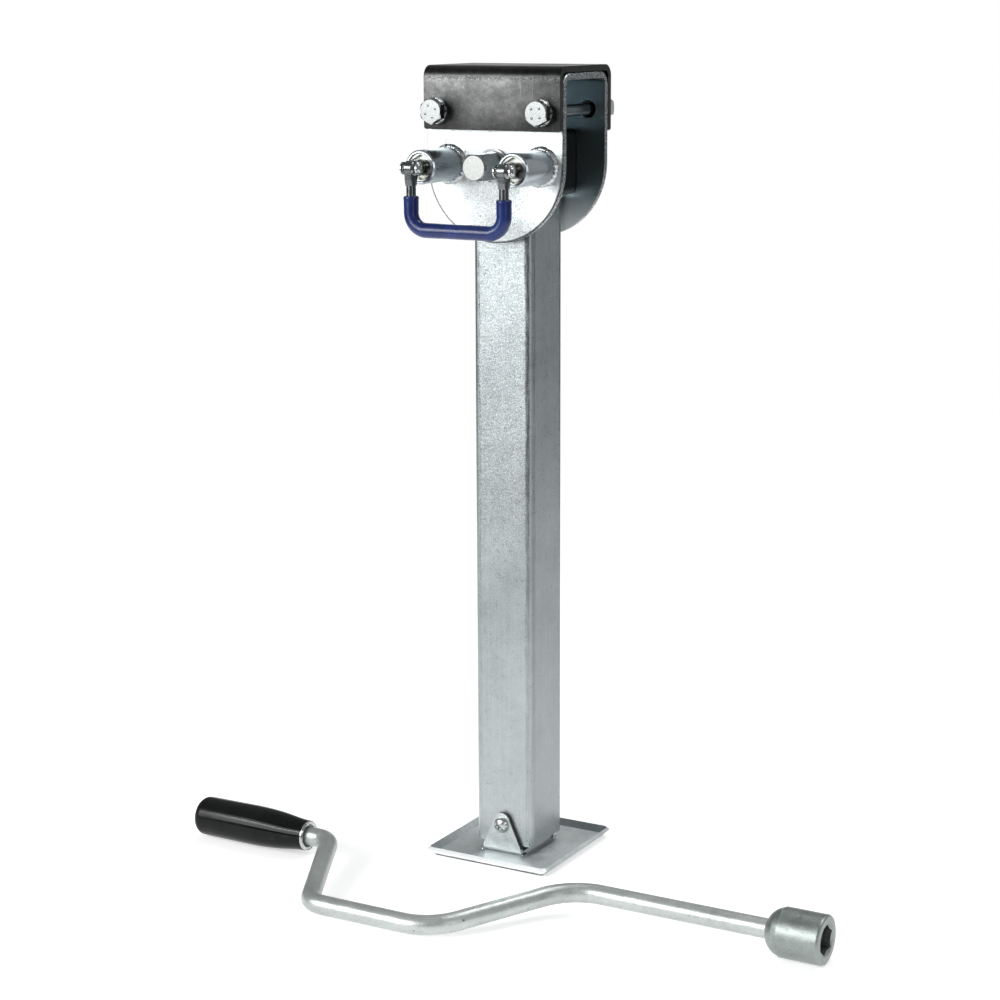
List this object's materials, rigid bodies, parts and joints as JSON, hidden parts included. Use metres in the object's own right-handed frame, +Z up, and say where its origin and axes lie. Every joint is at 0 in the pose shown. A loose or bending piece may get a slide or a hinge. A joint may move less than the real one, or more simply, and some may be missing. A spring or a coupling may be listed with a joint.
{
  "type": "drop-down stabilizer leg",
  "caption": "Swing-down screw-jack stabilizer leg on a pivot bracket with pull-handle lock pins, hex drive, tilting square foot and a loose brace crank.",
  "frame": {"origin": "centre of the foot plate's underside, on the leg's axis, with the leg retracted and swung down", "axes": "+Z up along the leg, +X to the right along the mounting channel, -Y towards the side with the hex drive, the lock pins and the handle"},
  "size_m": [0.5372, 0.2685, 0.61],
  "materials": {
    "channel_black": "semi-gloss black coating over rolled steel, faint mottling and scuffs",
    "zinc_plate": "bright zinc plated sheet, fine crystalline grain",
    "zinc_tube": "zinc plated square tube, fine grain and small pits",
    "zinc_fastener": "bright zinc plated fasteners",
    "zinc_sleeve": "satin zinc plated turned tube",
    "weld_metal": "rippled weld bead, plated over",
    "zinc_rod": "zinc plated bent round bar",
    "spring_steel": "drawn spring wire",
    "machined_steel": "turned and milled steel, oiled",
    "handle_blue": "dark blue dipped vinyl, glossy and slightly uneven",
    "grip_black": "moulded black plastic, glossy",
    "bronze": "bronze bearing metal",
    "nylon": "natural nylon"
  },
  "bodies": {
    "bracket": {"mounting_channel": "channel_black", "swivel_bracket": "zinc_plate", "mounting_bolts": "zinc_fastener", "lock_washers": "zinc_fastener", "mounting_nuts": "zinc_fastener", "pin_sleeves": "zinc_sleeve", "sleeve_welds": "weld_metal", "sleeve_bushes": "zinc_sleeve", "lock_springs": "spring_steel"},
    "leg": {"pivot_housing": "channel_black", "housing_front_plate": "channel_black", "housing_rear_plate": "channel_black", "front_trunnion": "machined_steel", "rear_trunnion": "machined_steel", "trunnion_rings": "spring_steel", "drive_bush": "bronze", "leg_outer_tube": "zinc_tube", "housing_weld": "weld_metal", "screw_support_plate": "machined_steel", "screw_thrust_bearing": "bronze"},
    "drive": {"drive_shaft": "zinc_fastener", "drive_gear": "machined_steel", "drive_gear_pin": "spring_steel", "drive_thrust_washer": "bronze"},
    "screw": {"lead_screw": "machined_steel", "screw_gear": "machined_steel", "screw_gear_pin": "spring_steel", "screw_spacer": "machined_steel", "screw_collar": "machined_steel"},
    "inner_leg": {"inner_tube": "zinc_tube", "lead_nut": "bronze", "nut_rivets": "machined_steel", "guide_ring": "nylon"},
    "foot": {"foot_plate": "zinc_plate", "foot_bracket": "zinc_plate", "foot_welds": "weld_metal", "foot_pin": "zinc_fastener", "foot_pin_nut": "zinc_fastener", "foot_pin_spacer": "machined_steel"},
    "lock_pin_pair": {"lock_pins": "zinc_fastener", "pin_rivets": "zinc_fastener", "pin_collars": "machined_steel"},
    "handle": {"handle_rod": "zinc_fastener", "handle_dip_sleeve": "handle_blue"},
    "crank": {"crank_rod": "zinc_rod", "crank_socket": "zinc_sleeve", "grip_retainer": "machined_steel"},
    "grip": {"crank_grip": "grip_black", "grip_liner": "zinc_fastener"}
  },
  "joints": [
    {"name": "leg_swing", "type": "hinge", "parent": "bracket", "child": "leg", "pos_m": [0, 0, 0.538], "axis": [0, 1, 0], "range_deg": [-90, 90]},
    {"name": "leg_extend", "type": "slide", "parent": "leg", "child": "inner_leg", "axis": [0, 0, -1], "range_m": [0, 0.2]},
    {"name": "foot_tilt", "type": "hinge", "parent": "inner_leg", "child": "foot", "pos_m": [0, 0, 0.0259], "axis": [0, 1, 0], "range_deg": [-8, 8]},
    {"name": "drive_spin", "type": "hinge", "parent": "leg", "child": "drive", "pos_m": [0, 0, 0.538], "axis": [0, 1, 0], "range_deg": [0, 14400.01]},
    {"name": "screw_spin", "type": "hinge", "parent": "leg", "child": "screw", "pos_m": [0, 0, 0.538], "axis": [0, 0, 1], "range_deg": [-14400.01, 0]},
    {"name": "pin_pull", "type": "slide", "parent": "bracket", "child": "lock_pin_pair", "axis": [0, -1, 0], "range_m": [-0.008, 0.004], "stiffness_N_per_m": 600, "springref_m": -0.018, "deforming": ["lock_springs"]},
    {"name": "handle_flip", "type": "hinge", "parent": "lock_pin_pair", "child": "handle", "pos_m": [0, -0.0897, 0.538], "axis": [-1, 0, 0], "range_deg": [0, 110]},
    {"name": "crank_lift", "type": "slide", "parent": "bracket", "child": "crank", "axis": [0, 0, 1], "range_m": [0, 0.3]},
    {"name": "grip_spin", "type": "hinge", "parent": "crank", "child": "grip", "pos_m": [0, -0.1011, 0.01688], "axis": [1, -0.0079, 0.0044], "continuous": true}
  ],
  "couplings": [
    {"joint": "drive_spin", "follows": "leg_extend", "rad_per_m": 1256.6},
    {"joint": "screw_spin", "follows": "leg_extend", "rad_per_m": -1256.6}
  ]
}
